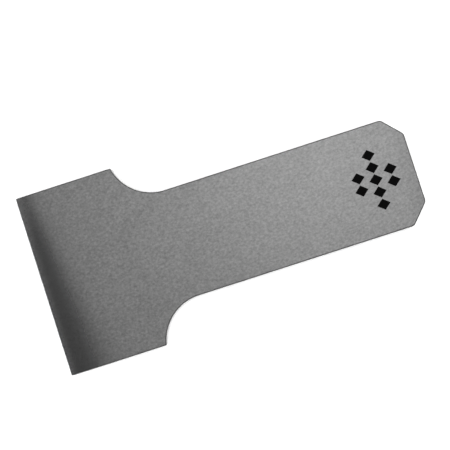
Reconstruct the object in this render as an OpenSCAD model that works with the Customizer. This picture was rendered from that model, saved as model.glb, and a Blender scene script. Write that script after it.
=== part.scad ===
// Iron of a hand plane: one flat T-shaped plate of ground tool steel. A wide head carries the
// cutting edge, round shoulders lead into a narrow shank that passes between the plane's cheeks,
// and the tail has two clipped corners. There is no slot or hole, because the plane clamps the
// iron between its bed and its cap.
//
// The plate lies on its flat underside, face up. X runs from the cutting edge to the tail, Y runs
// across the iron, and Z = 0 is the underside. The origin is the middle of the underside's outline
// box. The cutting edge is the end of the face, and its bevel is ground into the underside.

/* [Plate] */
// Length from the cutting edge to the tail end
blade_l = 106.5; // [90:0.5:140]
// Thickness of the plate
blade_t = 3.175; // [2:0.025:5]
// Width of the small chamfer that breaks each sharp edge
edge_break = 0.3; // [0.1:0.05:0.4]

/* [Head] */
// Width across the cutting edge
head_w = 50.8; // [42:0.1:62]
// Length of each straight side of the head
head_side_l = 27.2; // [20:0.1:34]
// Angle between the ground bevel and the face
bevel_angle = 25; // [20:1:45]
// Angle between the honed land and the face
land_angle = 30; // [26:1:50]
// Length of the honed land, measured along the face
land_l = 0.6; // [0.2:0.1:1.2]

/* [Shank] */
// Width of the shank
shank_w = 30.3; // [24:0.1:38]
// Radius of the round shoulder between the head and the shank
shoulder_r = 12.7; // [5:0.1:16]
// Length of each clipped tail corner, measured along the blade
clip_l = 5; // [2:0.1:9]
// Width of each clipped tail corner, measured across the blade
clip_w = 5.4; // [2:0.1:9]
// Radius that eases both ends of each clipped corner
clip_ease_r = 1.5; // [1:0.1:2.4]

/* [Etched ornament] */
// Distance from the tail end to the middle of the ornament
ornament_from_tail = 11.1; // [10:0.1:20]
// Distance between neighbouring rows of lozenges
row_pitch = 4.6; // [4:0.1:6]
// Number of lozenges in the long middle row
middle_row_count = 5; // [3:1:5]
// Number of lozenges in the short row on each side of it
side_row_count = 2; // [1:1:3]
// Distance between the middles of neighbouring lozenges in a row
lozenge_pitch = 3.5; // [3.4:0.1:4]
// Length of each lozenge, along the blade
lozenge_l = 3.8; // [2:0.1:3.9]
// Width of each lozenge, across the blade
lozenge_w = 3.2; // [1.5:0.1:3.3]
// Depth of the etching
etch_depth = 0.06; // [0.03:0.01:0.15]

/* [Hidden] */
$fn = 96;
over = 0.5; // how far each cutter reaches past the plate

function unit(v) = v / norm(v);
function left_of(way) = [-way.y, way.x];

edge_x = -blade_l / 2;
tail_x = blade_l / 2;
shoulder_x = edge_x + head_side_l;
step = (head_w - shank_w) / 2; // how far the head stands out beyond the shank
shoulder_y = shank_w / 2 + shoulder_r; // middle of the round shoulder
shoulder_rise = max(0, shoulder_r - step); // how far that middle lies outside the head
shoulder_reach = sqrt(pow(shoulder_r, 2) - pow(shoulder_rise, 2));
round_x = shoulder_x + shoulder_reach; // where the round shoulder runs into the shank's side

// Each clipped corner turns twice: off the shank's side, and onto the tail end. A turn is its
// corner, the way into it and the way out of it, with the plate on the right of both ways.
clip_start = [tail_x - clip_l, shank_w / 2];
clip_finish = [tail_x, shank_w / 2 - clip_w];
clip_way = unit(clip_finish - clip_start);
side_turn = [clip_start, [1, 0], clip_way];
tail_turn = [clip_finish, clip_way, [0, -1]];

function turn_angle(turn) = acos(turn[1] * turn[2]);
function eased_reach(turn) = clip_ease_r * tan(turn_angle(turn) / 2);
function eased_start(turn) = turn[0] - eased_reach(turn) * turn[1];
function eased_finish(turn) = turn[0] + eased_reach(turn) * turn[2];
function eased_middle(turn) = eased_start(turn) - clip_ease_r * left_of(turn[1]);

// Corners of the chamfer's cutter, as [distance outside the side wall, height]. Its long side is
// the chamfer, and the rest lies outside the plate.
break_profile = [
  [-edge_break - over, blade_t + over],
  [over, blade_t + over],
  [over, blade_t - edge_break - over],
];

module both_sides() {
  children();
  mirror([0, 1, 0]) children();
}

module both_faces() {
  children();
  translate([0, 0, blade_t]) mirror([0, 0, 1]) children();
}

// The head, the shank with its clipped tail, and the corners that the round shoulders leave.
module plate() {
  translate([edge_x, -head_w / 2, 0]) cube([head_side_l, head_w, blade_t]);
  difference() {
    linear_extrude(blade_t) polygon([
      [edge_x, -shank_w / 2],
      [clip_start.x, -clip_start.y],
      [clip_finish.x, -clip_finish.y],
      clip_finish,
      clip_start,
      [edge_x, shank_w / 2],
    ]);
    both_sides() for (turn = [side_turn, tail_turn]) easing_cut(turn);
  }
  both_sides() round_shoulder();
}

// The stretch between the head, the shank and a circle that touches the shank's side.
module round_shoulder() {
  difference() {
    translate([edge_x, 0, 0])
      cube([round_x - edge_x, shank_w / 2 + min(shoulder_r, step), blade_t]);
    translate([round_x, shoulder_y, -over]) cylinder(r = shoulder_r, h = blade_t + 2 * over);
  }
}

// What easing takes off a turn: all that lies between its corner and a circle touching both sides.
module easing_cut(turn) {
  outer = turn[0] + over * unit(turn[1] - turn[2]);
  difference() {
    translate([0, 0, -over]) linear_extrude(blade_t + 2 * over)
      polygon([eased_start(turn), outer, eased_finish(turn), eased_middle(turn)]);
    translate([eased_middle(turn).x, eased_middle(turn).y, -2 * over])
      cylinder(r = clip_ease_r, h = blade_t + 4 * over);
  }
}

// Cuts the ground bevel and the steeper honed land out of the underside.
module bevel_cut() {
  land_z = blade_t - land_l * tan(land_angle);
  heel_x = edge_x + land_l + (land_z + over) / tan(bevel_angle);
  rotate([90, 0, 0]) linear_extrude(head_w + 2 * over, center = true) polygon([
    [edge_x - over, blade_t + over * tan(land_angle)],
    [edge_x - over, -over],
    [heel_x, -over],
    [edge_x + land_l, land_z],
  ]);
}

// Chamfer along a straight stretch, with the plate on the right of the way from start to finish.
// It runs past each end that is a sharp outside corner, and stops exactly where a round begins.
module straight_break(start, finish, past = 0) {
  way = unit(finish - start);
  translate([start.x, start.y, 0]) rotate(atan2(way.y, way.x)) translate([-past, 0, 0])
    rotate([90, 0, 90]) linear_extrude(norm(finish - start) + 2 * past) polygon(break_profile);
}

// Chamfer round a shoulder, from the head's corner to the shank.
module shoulder_break() {
  corner_angle = 180 + asin(shoulder_rise / shoulder_r);
  lead_in = shoulder_rise > 0 ? asin(over / shoulder_r) : 0;
  translate([round_x, shoulder_y, 0])
    rotate_extrude(start = corner_angle - lead_in, angle = 270 - corner_angle + lead_in)
      polygon([for (p = break_profile) [shoulder_r - p.x, p.y]]);
}

// Chamfer round an eased turn.
module turn_break(turn) {
  last_normal = left_of(turn[2]);
  translate([eased_middle(turn).x, eased_middle(turn).y, 0])
    rotate_extrude(start = atan2(last_normal.y, last_normal.x), angle = turn_angle(turn))
      polygon([for (p = break_profile) [clip_ease_r + p.x, p.y]]);
}

// Chamfers round the whole outline except the cutting edge.
module edge_breaks() {
  both_sides() {
    straight_break([edge_x, head_w / 2], [shoulder_x, head_w / 2], past = over);
    if (shoulder_r < step)
      straight_break([shoulder_x, head_w / 2 + over], [shoulder_x, shoulder_y]);
    shoulder_break();
    straight_break([round_x, shank_w / 2], eased_start(side_turn));
    turn_break(side_turn);
    straight_break(eased_finish(side_turn), eased_start(tail_turn));
    turn_break(tail_turn);
  }
  tail_side = eased_finish(tail_turn);
  straight_break(tail_side, [tail_side.x, -tail_side.y]);
}

// One row of shallow lozenges across the blade.
module lozenge_row(x, count) {
  for (i = [0 : count - 1])
    translate([x, (i - (count - 1) / 2) * lozenge_pitch, blade_t - etch_depth])
      linear_extrude(etch_depth + over) polygon([
        [-lozenge_l / 2, 0],
        [0, -lozenge_w / 2],
        [lozenge_l / 2, 0],
        [0, lozenge_w / 2],
      ]);
}

// Ornament near the tail: a long row of lozenges with a short row on each side.
module etched_ornament() {
  middle_x = tail_x - ornament_from_tail;
  for (row = [-1, 0, 1])
    lozenge_row(middle_x + row * row_pitch, row == 0 ? middle_row_count : side_row_count);
}

module blade() {
  color("darkgray") difference() {
    plate();
    bevel_cut();
    both_faces() edge_breaks();
    etched_ornament();
  }
}

blade();
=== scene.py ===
from math import asin, atan2, cos, radians, sin, tan
import bpy
from mathutils import Euler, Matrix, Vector


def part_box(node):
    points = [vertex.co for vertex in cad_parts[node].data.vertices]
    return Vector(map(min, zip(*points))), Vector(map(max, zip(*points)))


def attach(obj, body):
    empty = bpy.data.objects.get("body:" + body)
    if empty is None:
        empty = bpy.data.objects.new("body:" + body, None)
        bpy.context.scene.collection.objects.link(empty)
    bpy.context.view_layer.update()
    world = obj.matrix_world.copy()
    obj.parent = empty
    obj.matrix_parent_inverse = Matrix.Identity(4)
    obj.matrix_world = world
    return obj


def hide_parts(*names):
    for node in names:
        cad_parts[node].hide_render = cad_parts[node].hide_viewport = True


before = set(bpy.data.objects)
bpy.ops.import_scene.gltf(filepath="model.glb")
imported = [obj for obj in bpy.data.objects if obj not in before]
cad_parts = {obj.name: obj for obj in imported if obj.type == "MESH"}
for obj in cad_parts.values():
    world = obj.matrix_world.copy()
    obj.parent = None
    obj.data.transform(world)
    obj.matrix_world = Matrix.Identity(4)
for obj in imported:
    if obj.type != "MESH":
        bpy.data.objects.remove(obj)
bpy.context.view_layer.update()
mm = 0.001
near = 1e-6  # m, how closely a place has to match

low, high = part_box("blade")
edgeX, tailX, headY, topZ = low.x, high.x, high.y, high.z

print("stage: frame loaded")


# helpers for node trees

def addNode(tree, kind, **settings):
    node = tree.nodes.new(kind)
    for name, value in settings.items():
        setattr(node, name, value)
    return node


def feed(tree, node, sources):  # what goes into each socket: another node's output, or a plain value
    for key, source in sources.items():
        if isinstance(source, bpy.types.NodeSocket):
            tree.links.new(source, node.inputs[key])
        else:
            node.inputs[key].default_value = source
    return node


def calc(tree, operation, first, second):
    node = addNode(tree, "ShaderNodeMath", operation=operation)
    return feed(tree, node, {0: first, 1: second}).outputs[0]


def noise(tree, vector, size, detail, roughness):  # size is that of its largest blots
    node = addNode(tree, "ShaderNodeTexNoise")
    scale = calc(tree, "DIVIDE", 1.0, size)
    feed(tree, node, {"Vector": vector, "Scale": scale, "Detail": detail, "Roughness": roughness})
    return node.outputs["Fac"]


def remap(tree, value, fromLow, fromHigh, toLow, toHigh, kind="LINEAR"):
    node = addNode(tree, "ShaderNodeMapRange", interpolation_type=kind)
    return feed(tree, node, {0: value, 1: fromLow, 2: fromHigh, 3: toLow, 4: toHigh}).outputs[0]


def spreadOut(tree, value):  # noise seldom leaves the middle of its range, so that is stretched from 0 to 1
    return remap(tree, value, 0.3, 0.7, 0.0, 1.0)


def stretched(tree, vector, scale):
    node = addNode(tree, "ShaderNodeMapping")
    return feed(tree, node, {"Vector": vector, "Scale": scale}).outputs[0]


def axes(tree, vector):  # its X, Y and Z
    return feed(tree, addNode(tree, "ShaderNodeSeparateXYZ"), {0: vector}).outputs


def grey(level):
    return (level, level, level, 1)


def mixGrey(tree, mask, first, second):  # each end is a grey level, or the colour output of a node
    node = addNode(tree, "ShaderNodeMix", data_type="RGBA")
    ends = [grey(end) if isinstance(end, float) else end for end in (first, second)]
    return feed(tree, node, {0: mask, 6: ends[0], 7: ends[1]}).outputs[2]


def mixValue(tree, mask, first, second):
    node = addNode(tree, "ShaderNodeMix", data_type="FLOAT")
    return feed(tree, node, {0: mask, 2: first, 3: second}).outputs[0]


def newGroup(name, inputs, outputs):
    tree = bpy.data.node_groups.new(name, "ShaderNodeTree")
    for label, value in inputs.items():
        kind = "NodeSocketFloat" if isinstance(value, float) else "NodeSocketVector"
        tree.interface.new_socket(label, in_out="INPUT", socket_type=kind).default_value = value
    for label in outputs:
        tree.interface.new_socket(label, in_out="OUTPUT", socket_type="NodeSocketFloat")
    return tree, addNode(tree, "NodeGroupInput").outputs, addNode(tree, "NodeGroupOutput")


def useGroup(tree, group, values):
    return feed(tree, addNode(tree, "ShaderNodeGroup", node_tree=group), values).outputs


# effects for the finishes, with their sizes in millimetres

lapped = {
    "roughness": 0.22,
    "width": 7.4,               # at the middle of the cutting edge
    "flare": 0.11,              # width lost for each mm towards +Y
    "falloff": 4.0,             # how sharply the strip ends
    "wander": 1.6,              # how far its end strays
    "wanderSize": 9.0,
    "faint": (12.0, 26.0, 0.78),  # from here to here across the iron it gets this much fainter
    "worn": (2.5, 0.7),         # length next to the cutting edge, and how little is left at the edge
    "evenness": 0.6,            # how much of the grain's colour the lapping takes away
    "flatness": 0.8,            # and how much of its height
}


def makeGrainGroup():  # the even, matte speckle of a finely ground face
    tree, given, result = newGroup("steelGrain", {
        "Vector": (0, 0, 0), "Grain": 0.5, "Cloud": 9.0, "Cloudiness": 0.1,
    }, ["Tone", "Height"])
    drawn = stretched(tree, given["Vector"], (0.8, 1, 1))  # a little longer along the blade
    fine = noise(tree, drawn, given["Grain"], detail=3.0, roughness=0.75)
    broad = noise(tree, given["Vector"], given["Cloud"], detail=3.0, roughness=0.6)
    tone = mixValue(tree, given["Cloudiness"], fine, broad)
    feed(tree, result, {"Tone": spreadOut(tree, tone), "Height": fine})
    return tree


def makeLineGroup():  # the fine lines that a belt or a wheel leaves
    tree, given, result = newGroup("grindingLines", {
        "Vector": (0, 0, 0), "Stretch": (1, 1, 1), "Pitch": 0.1,
    }, ["Tone", "Height"])
    drawn = addNode(tree, "ShaderNodeVectorMath", operation="MULTIPLY")
    feed(tree, drawn, {0: given["Vector"], 1: given["Stretch"]})
    lines = noise(tree, drawn.outputs[0], given["Pitch"], detail=4.0, roughness=0.7)
    feed(tree, result, {"Tone": spreadOut(tree, lines), "Height": lines})
    return tree


def makeLappedGroup():  # a smooth strip along the cutting edge, which fades out into the ground face
    tree, given, result = newGroup("lappedStrip", {
        "Vector": (0, 0, 0), "Edge": edgeX / mm, "Width": lapped["width"], "Flare": lapped["flare"],
        "Falloff": lapped["falloff"], "Wander": lapped["wander"],
    }, ["Mask"])
    place = axes(tree, given["Vector"])
    fromEdge = calc(tree, "MAXIMUM", calc(tree, "SUBTRACT", place[0], given["Edge"]), 0.0)
    flared = calc(tree, "SUBTRACT", given["Width"], calc(tree, "MULTIPLY", place[1], given["Flare"]))
    blots = calc(tree, "SUBTRACT",
                 noise(tree, given["Vector"], lapped["wanderSize"], detail=3.0, roughness=0.55), 0.5)
    reach = calc(tree, "ADD", flared, calc(tree, "MULTIPLY", blots, given["Wander"]))
    faded = calc(tree, "POWER", calc(tree, "DIVIDE", fromEdge, reach), given["Falloff"])
    strip = calc(tree, "DIVIDE", 1.0, calc(tree, "ADD", 1.0, faded))  # a half where it ends
    faintFrom, faintTo, faintest = lapped["faint"]
    fainter = remap(tree, place[1], faintFrom, faintTo, 1.0, faintest, "SMOOTHSTEP")
    wornLength, left = lapped["worn"]
    worn = remap(tree, fromEdge, 0.0, wornLength, left, 1.0, "SMOOTHSTEP")
    feed(tree, result, {"Mask": calc(tree, "MULTIPLY", calc(tree, "MULTIPLY", strip, fainter), worn)})
    return tree


grainGroup = makeGrainGroup()
lineGroup = makeLineGroup()
lappedGroup = makeLappedGroup()


# the steel's finishes: each colour is a reflectance, except where shade is painted in, and each size is in
# millimetres

ground = {
    "darkest": 0.308,           # colours of the grain
    "lightest": 0.592,
    "roughness": 0.42,
    "roughnessSpread": 0.02,
    "grain": 0.6,
    "depth": 0.012,
    "paintedShadeLength": 6.0,       # of the tail, darkened with painted shade as the light falls off
    "paintedShadeStrength": 0.10,       # how much darker its end is
}
lined = {  # a small stretch draws the lines out long that way
    "linishedWall": {"colour": 0.32, "roughness": 0.42, "stretch": (0.05, 0.05, 1),
                     "pitch": 0.3, "depth": 0.008, "contrast": 0.22},
    # the rounded edges get a dark colour: painted shade for the dark rims along the outline
    "paintedShadeArris": {"colour": 0.14, "roughness": 0.34, "stretch": (1, 1, 1),
                  "pitch": 0.3, "depth": 0.002, "contrast": 0.08},
    "groundBevel": {"colour": 0.46, "roughness": 0.3, "stretch": (0.05, 1, 0.05),
                    "pitch": 0.12, "depth": 0.004, "contrast": 0.12},
    "honedLand": {"colour": 0.56, "roughness": 0.12, "stretch": (0.1, 1, 0.1),
                  "pitch": 0.05, "depth": 0.0005, "contrast": 0.03},
}
lineRoughness = 0.06            # how much rougher or smoother a line can be
etched = {
    "colour": 0.0015,
    "colourRange": (0.5, 2.0),  # the grain's share of that colour
    "roughness": 0.6,
    "gloss": 0.01,
    "grain": 0.18,
    "cloud": 2.5,
    "cloudiness": 0.3,
    "depth": 0.01,
}


def newSteel(name, colour, roughness, metallic=1.0):
    material = bpy.data.materials.new(name)
    material.use_nodes = True
    tree = material.node_tree
    shader = tree.nodes["Principled BSDF"]
    feed(tree, shader, {"Base Color": grey(colour), "Roughness": roughness, "Metallic": metallic})
    metres = addNode(tree, "ShaderNodeTexCoord").outputs["Object"]
    return material, tree, shader, stretched(tree, metres, (1 / mm, 1 / mm, 1 / mm))


def addBump(tree, shader, height, depth):
    bump = feed(tree, addNode(tree, "ShaderNodeBump"), {"Height": height, "Distance": depth * mm})
    tree.links.new(bump.outputs["Normal"], shader.inputs["Normal"])


def makeFaceSteel():
    material, tree, shader, place = newSteel("groundFace", ground["lightest"], ground["roughness"])
    grain = useGroup(tree, grainGroup, {"Vector": place, "Grain": ground["grain"]})
    strip = useGroup(tree, lappedGroup, {"Vector": place})["Mask"]
    speckled = mixGrey(tree, grain["Tone"], ground["darkest"], ground["lightest"])
    plain = (ground["darkest"] + ground["lightest"]) / 2
    clean = mixGrey(tree, calc(tree, "MULTIPLY", strip, lapped["evenness"]), speckled, plain)
    # the tail's end is darkened with painted shade
    paintedTailShade = remap(tree, axes(tree, place)[0], tailX / mm - ground["paintedShadeLength"], tailX / mm,
                    0.0, ground["paintedShadeStrength"], "SMOOTHSTEP")
    smoothest = ground["roughness"] - ground["roughnessSpread"]
    roughest = ground["roughness"] + ground["roughnessSpread"]
    uneven = remap(tree, grain["Tone"], 0.0, 1.0, smoothest, roughest)
    feed(tree, shader, {
        "Base Color": mixGrey(tree, paintedTailShade, clean, 0.0),
        "Roughness": mixValue(tree, strip, uneven, lapped["roughness"]),
    })
    flatter = remap(tree, strip, 0.0, 1.0, 1.0, 1.0 - lapped["flatness"])
    addBump(tree, shader, calc(tree, "MULTIPLY", grain["Height"], flatter), ground["depth"])
    return material


def makeLinedSteel(name, look):
    material, tree, shader, place = newSteel(name, look["colour"], look["roughness"])
    lines = useGroup(tree, lineGroup, {
        "Vector": place, "Stretch": look["stretch"], "Pitch": look["pitch"]})
    darkest, lightest = look["colour"] * (1 - look["contrast"]), look["colour"] * (1 + look["contrast"])
    smoothest, roughest = look["roughness"] - lineRoughness, look["roughness"] + lineRoughness
    feed(tree, shader, {
        "Base Color": mixGrey(tree, lines["Tone"], darkest, lightest),
        "Roughness": remap(tree, lines["Tone"], 0.0, 1.0, smoothest, roughest),
    })
    addBump(tree, shader, lines["Height"], look["depth"])
    return material


def makeEtchBlack():
    material, tree, shader, place = newSteel("etchedBlack", etched["colour"], etched["roughness"], 0.0)
    grain = useGroup(tree, grainGroup, {
        "Vector": place, "Grain": etched["grain"],
        "Cloud": etched["cloud"], "Cloudiness": etched["cloudiness"],
    })
    darkest, lightest = [etched["colour"] * share for share in etched["colourRange"]]
    feed(tree, shader, {
        "Specular IOR Level": etched["gloss"],
        "Base Color": mixGrey(tree, grain["Tone"], darkest, lightest),
    })
    addBump(tree, shader, grain["Height"], etched["depth"])
    return material


# the iron: half its outline is drawn, mirrored, given its thickness, ground and etched

plate = {
    "headSide": 27.2,           # straight side of the head, mm
    "shankWidth": 30.3,
    "shoulderRadius": 12.7,
    "shoulderSteps": 40,
    "clipLength": 5.0,
    "clipWidth": 5.4,
    "clipEase": 1.5,            # radius at both ends of each clipped corner
    "clipSteps": 8,
    "arris": 0.3,               # rounding of the outline's edges
    "arrisSteps": 3,
    "bevelAngle": 25,           # degrees from the face
    "landAngle": 30,
    "landLength": 0.6,
    "smoothAngle": 40,          # sharper edges than this are shaded as edges
}
ornament = {
    "fromTail": 11.1,           # mm, to the middle of the long row
    "rows": (2, 5, 2),          # lozenges in each row, from the tail
    "rowPitch": 4.6,
    "pitch": 3.5,               # between neighbours in a row
    "length": 3.8,              # of a lozenge along the blade
    "width": 3.2,
    "depth": 0.06,
}
bevel, land = radians(plate["bevelAngle"]), radians(plate["landAngle"])
landX = edgeX + plate["landLength"] * mm
landZ = topZ - plate["landLength"] * mm * tan(land)
heelX = landX + landZ / tan(bevel)
shoulderX = edgeX + plate["headSide"] * mm
ornamentX = tailX - ornament["fromTail"] * mm


def editMode():
    bpy.ops.object.mode_set(mode="EDIT")


def objectMode():
    bpy.ops.object.mode_set(mode="OBJECT")


def selectEdges(piece, test):  # selects each edge whose two ends pass the test, and enters edit mode
    editMode()
    bpy.ops.mesh.select_mode(type="EDGE")
    bpy.ops.mesh.select_all(action="DESELECT")
    objectMode()
    ends = piece.data.vertices
    for edge in piece.data.edges:
        edge.select = test(ends[edge.vertices[0]].co, ends[edge.vertices[1]].co)
    editMode()


def applyModifier(piece, kind, **settings):
    modifier = piece.modifiers.new(kind.lower(), kind)
    for name, value in settings.items():
        setattr(modifier, name, value)
    bpy.context.view_layer.objects.active = piece
    bpy.ops.object.modifier_apply(modifier=modifier.name)


def lineTo(start, end):
    bpy.ops.mesh.extrude_region_move(
        TRANSFORM_OT_translate={"value": (end[0] - start[0], end[1] - start[1], 0)})


def arcRound(centre, angle, steps):  # the angle is positive anticlockwise, seen from above
    bpy.ops.mesh.spin(steps=steps, angle=angle, center=(*centre, topZ), axis=(0, 0, -1))


def drawOutline():
    shankY = plate["shankWidth"] / 2 * mm
    radius = plate["shoulderRadius"] * mm
    ease = plate["clipEase"] * mm
    clipLength, clipWidth = plate["clipLength"] * mm, plate["clipWidth"] * mm
    rise = asin((shankY + radius - headY) / radius)  # how far round the shoulder begins
    roundX = shoulderX + radius * cos(rise)
    clipTurn = atan2(clipWidth, clipLength)
    tailTurn = radians(90) - clipTurn
    sideReach, tailReach = ease * tan(clipTurn / 2), ease * tan(tailTurn / 2)
    clipWay = Vector((cos(clipTurn), -sin(clipTurn)))
    clipFrom = Vector((tailX - clipLength, shankY)) + clipWay * sideReach
    clipTo = Vector((tailX, shankY - clipWidth)) - clipWay * tailReach
    sideX = tailX - clipLength - sideReach  # where the shank's side ends
    tailY = shankY - clipWidth - tailReach  # where the tail's end begins

    bpy.ops.object.select_all(action="DESELECT")
    bpy.ops.mesh.primitive_plane_add(size=mm, location=(edgeX, 0, topZ))
    piece = bpy.context.object
    piece.name = piece.data.name = "planeIron"
    bpy.ops.object.transform_apply(location=True, rotation=True, scale=True)
    editMode()
    bpy.ops.mesh.select_mode(type="VERT")
    bpy.ops.mesh.select_all(action="SELECT")
    bpy.ops.mesh.merge(type="CENTER")  # the plane closes up into the outline's first point
    lineTo((edgeX, 0), (edgeX, headY))
    lineTo((edgeX, headY), (shoulderX, headY))
    arcRound((roundX, shankY + radius), radians(90) - rise, plate["shoulderSteps"])
    lineTo((roundX, shankY), (sideX, shankY))
    arcRound((sideX, shankY - ease), -clipTurn, plate["clipSteps"])
    lineTo(clipFrom, clipTo)
    arcRound((tailX - ease, tailY), -tailTurn, plate["clipSteps"])
    lineTo((tailX, tailY), (tailX, 0))
    objectMode()
    applyModifier(piece, "MIRROR", use_axis=(False, True, False), merge_threshold=near)
    return piece


def raisePlate(piece):
    editMode()
    bpy.ops.mesh.select_all(action="SELECT")
    bpy.ops.mesh.edge_face_add()
    bpy.ops.mesh.extrude_region_move(TRANSFORM_OT_translate={"value": (0, 0, -topZ)})
    bpy.ops.mesh.select_all(action="SELECT")
    bpy.ops.mesh.normals_make_consistent(inside=False)

    def brokenEdge(a, b):  # round both faces, except at the cutting edge, and up the head's two corners
        level = abs(a.z - b.z) < near
        atCut = abs(a.x - edgeX) < near and abs(b.x - edgeX) < near
        headCorner = abs(a.x - shoulderX) < near and abs(b.x - shoulderX) < near
        return (level and not atCut) or (not level and headCorner)

    selectEdges(piece, brokenEdge)
    bpy.ops.mesh.bevel(offset=plate["arris"] * mm, segments=plate["arrisSteps"], profile=0.5,
                       affect="EDGES", clamp_overlap=False)
    objectMode()


def grindEdge(piece):
    editMode()
    for point, angle in (((landX, 0, landZ), bevel), ((edgeX, 0, topZ), land)):
        bpy.ops.mesh.select_all(action="SELECT")
        bpy.ops.mesh.bisect(plane_co=point, plane_no=(-sin(angle), 0, -cos(angle)),
                            use_fill=True, clear_outer=True, threshold=near / 100)
    bpy.ops.mesh.select_all(action="SELECT")
    bpy.ops.mesh.remove_doubles(threshold=near / 10)
    bpy.ops.mesh.normals_make_consistent(inside=False)
    objectMode()


def addLozenge():
    bpy.ops.mesh.primitive_cylinder_add(
        vertices=4, radius=0.5, depth=2 * ornament["depth"] * mm, location=(0, 0, topZ),
        scale=(ornament["length"] * mm, ornament["width"] * mm, 1))
    bpy.ops.object.transform_apply(location=True, rotation=True, scale=True)
    return bpy.context.object


def etchOrnament(piece):
    bpy.ops.object.select_all(action="DESELECT")
    first = addLozenge()
    cutters = []
    for row, count in enumerate(ornament["rows"]):
        for i in range(count):
            cutter = bpy.data.objects.new("lozenge", first.data.copy())
            bpy.context.scene.collection.objects.link(cutter)
            cutter.location.x = ornamentX + (1 - row) * ornament["rowPitch"] * mm
            cutter.location.y = (i - (count - 1) / 2) * ornament["pitch"] * mm
            cutters.append(cutter)
    bpy.data.objects.remove(first)
    for cutter in cutters:
        cutter.select_set(True)
    bpy.context.view_layer.objects.active = cutters[0]
    bpy.ops.object.join()
    applyModifier(piece, "BOOLEAN", operation="DIFFERENCE", solver="EXACT", object=cutters[0])
    bpy.data.objects.remove(cutters[0])


def surfaceOf(face):  # the finish of one of the iron's faces
    normal, centre = face.normal, face.center
    depth = topZ - centre.z
    level = abs(normal.z) > 0.9999
    if level and (abs(centre.z) < near or abs(depth) < near):
        return "groundFace"
    besideX = abs(centre.x - ornamentX) < (ornament["rowPitch"] + ornament["length"]) * mm
    besideY = abs(centre.y) < max(ornament["rows"]) / 2 * ornament["pitch"] * mm
    if besideX and besideY and near < depth < ornament["depth"] * mm + near:
        return "etchedBlack"
    if abs(normal.z) < 0.01:
        return "linishedWall"
    if abs(normal.y) < 0.01 and normal.x < -sin(bevel) + near and normal.z < -cos(land) + near:
        return "honedLand" if normal.x < -sin((bevel + land) / 2) else "groundBevel"
    # the rounded edges, whose dark colour is painted shade
    return "paintedShadeArris"


def finishSurfaces(piece):
    mesh = piece.data
    mesh.materials.clear()
    mesh.materials.append(makeFaceSteel())
    for name, look in lined.items():
        mesh.materials.append(makeLinedSteel(name, look))
    mesh.materials.append(makeEtchBlack())
    slots = [material.name for material in mesh.materials]
    for face in mesh.polygons:
        face.material_index = slots.index(surfaceOf(face))

    def groundEdge(a, b):  # the bevel's heel, the land's line and the cutting edge run straight across
        across = abs(a.x - b.x) < near and abs(a.z - b.z) < near
        return across and a.x < heelX + near

    selectEdges(piece, groundEdge)
    bpy.ops.mesh.mark_sharp()
    objectMode()
    bpy.ops.object.select_all(action="DESELECT")
    piece.select_set(True)
    bpy.context.view_layer.objects.active = piece
    bpy.ops.object.shade_smooth_by_angle(angle=radians(plate["smoothAngle"]))
    applyModifier(piece, "WEIGHTED_NORMAL", keep_sharp=True, weight=90)


iron = drawOutline()
raisePlate(iron)
grindEdge(iron)
print("stage: plate cut and ground")
etchOrnament(iron)
finishSurfaces(iron)
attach(iron, "root")
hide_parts("blade")
print("stage: iron finished,", len(iron.data.polygons), "faces")


# the stage: pale floor, soft light, and a camera looking almost straight down

studio = {
    "floorSize": 6.0,           # m
    "floorDrop": 0.0001,        # m below the iron
    "floorColour": 0.86,
    "lens": 100,
    "distance": 0.343,          # m from the blade to the camera
    "aim": (-0.00087, 0.00099),  # the point of the blade on the camera's axis
    "turn": (1.34, 0.91, -17.9),  # degrees
    "horizon": 1.0,             # brightness of the surroundings
    "sky": ((0.2, 0.95), (0.45, 0.5), (0.91, 0.42), (0.96, 0.11)),  # height of each, and its brightness
    "overhead": 0.0,
    "shadedSide": 0.9,          # how much darker the surroundings are low down towards -Y
    "shadeHeight": 0.5,         # where that ends
    "keyPlace": (0.088, 0.074, 0.6),
    "keyAim": (0.035, 0.020, 0),
    "keySize": 0.16,
    "keyPower": 0.255,
    "fillStrength": 3.8,
    "fillSpread": 60,           # degrees
}


def makeFloor():
    bpy.ops.object.select_all(action="DESELECT")
    bpy.ops.mesh.primitive_plane_add(size=studio["floorSize"], location=(0, 0, -studio["floorDrop"]))
    floor = bpy.context.object
    floor.name = "floor"
    bpy.ops.object.transform_apply(location=True, rotation=True, scale=True)
    material = bpy.data.materials.new("paleFloor")
    material.use_nodes = True
    feed(material.node_tree, material.node_tree.nodes["Principled BSDF"], {
        "Base Color": grey(studio["floorColour"]), "Roughness": 0.9, "Specular IOR Level": 0.0})
    floor.data.materials.append(material)


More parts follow.
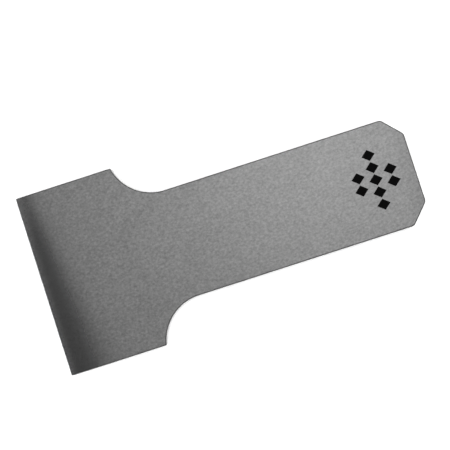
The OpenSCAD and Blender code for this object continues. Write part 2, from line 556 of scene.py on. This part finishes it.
def makeWorld():
    world = bpy.data.worlds.new("studio")
    world.use_nodes = True
    bpy.context.scene.world = world
    tree = world.node_tree
    way = axes(tree, addNode(tree, "ShaderNodeTexCoord").outputs["Generated"])
    ramp = addNode(tree, "ShaderNodeValToRGB")
    stops = ramp.color_ramp.elements
    stops[0].color, stops[1].color = grey(studio["horizon"]), grey(studio["overhead"])
    for position, brightness in studio["sky"]:
        stops.new(position).color = grey(brightness)
    tree.links.new(way[2], ramp.inputs[0])
    # the shaded side lights the iron, and the background stays white
    towardShade = remap(tree, way[1], 0.3, -0.9, 0.0, studio["shadedSide"], "SMOOTHSTEP")
    lowDown = remap(tree, way[2], 0.0, studio["shadeHeight"], 1.0, 0.0)
    unseen = calc(tree, "SUBTRACT", 1.0, addNode(tree, "ShaderNodeLightPath").outputs["Is Camera Ray"])
    shade = calc(tree, "MULTIPLY", calc(tree, "MULTIPLY", towardShade, lowDown), unseen)
    tree.links.new(mixGrey(tree, shade, ramp.outputs[0], 0.0), tree.nodes["Background"].inputs["Color"])


def addLight(name, kind, place, aim, strength):
    lamp = bpy.data.objects.new(name, bpy.data.lights.new(name, kind))
    bpy.context.scene.collection.objects.link(lamp)
    lamp.data.energy = strength
    lamp.location = place
    lamp.rotation_euler = (Vector(aim) - Vector(place)).to_track_quat("-Z", "Y").to_euler()
    return lamp


def makeLights():
    key = addLight("keyLight", "AREA", studio["keyPlace"], studio["keyAim"], studio["keyPower"])
    key.data.shape = "DISK"
    key.data.size = studio["keySize"]
    fill = addLight("fillLight", "SUN", (0, 0, 1), (0, 0, 0), studio["fillStrength"])
    fill.data.angle = radians(studio["fillSpread"])
    fill.visible_glossy = False  # it whitens the floor and leaves the steel as it is


def makeCamera():
    camera = bpy.data.objects.new("camera", bpy.data.cameras.new("camera"))
    bpy.context.scene.collection.objects.link(camera)
    camera.data.lens = studio["lens"]
    camera.data.sensor_width = 36
    camera.data.clip_start = 0.01
    turn = Euler([radians(angle) for angle in studio["turn"]])
    aim = Vector((*studio["aim"], topZ / 2))
    camera.rotation_euler = turn
    camera.location = aim + turn.to_matrix() @ Vector((0, 0, studio["distance"]))
    bpy.context.scene.camera = camera


makeFloor()
makeWorld()
makeLights()
makeCamera()
bpy.context.scene.view_settings.view_transform = "Standard"
print("stage: floor, lights and camera set")
